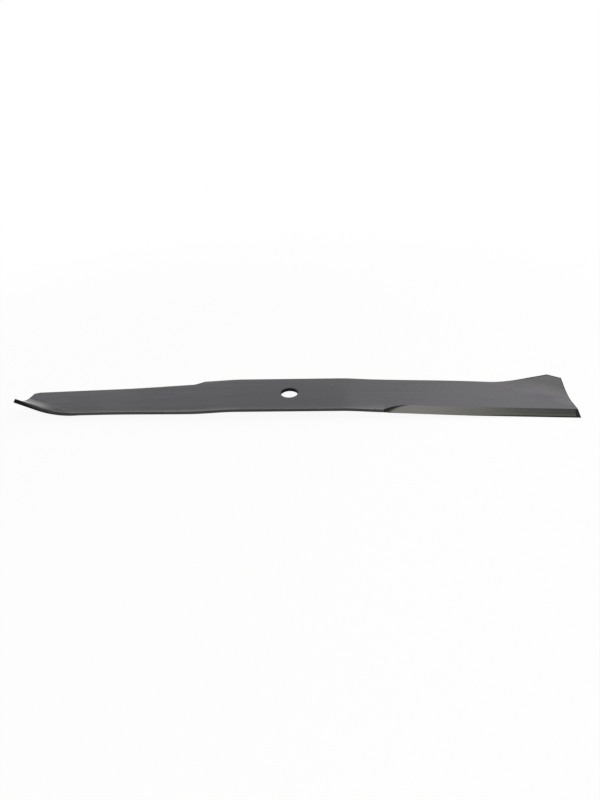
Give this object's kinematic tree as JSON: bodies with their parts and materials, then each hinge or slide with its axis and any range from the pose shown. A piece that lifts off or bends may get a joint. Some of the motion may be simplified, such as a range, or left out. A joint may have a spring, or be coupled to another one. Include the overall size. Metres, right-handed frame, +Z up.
{
  "type": "rotary mower blade",
  "caption": "Flat steel rotary mower blade with a central spindle-bolt hole, twisted arms, bevel-ground cutting edges and upturned sails at the tips.",
  "frame": {"origin": "on the spindle-bolt hole's axis, in the flat top face of the hub", "axes": "+X along the bar from the hole to one tip, +Y across the bar, +Z up along the hole's axis, on the side the sails turn up to"},
  "size_m": [0.508, 0.0516, 0.0184],
  "materials": {
    "blade": "satin"
  },
  "bodies": {
    "root": {"blade": "blade"}
  },
  "joints": []
}
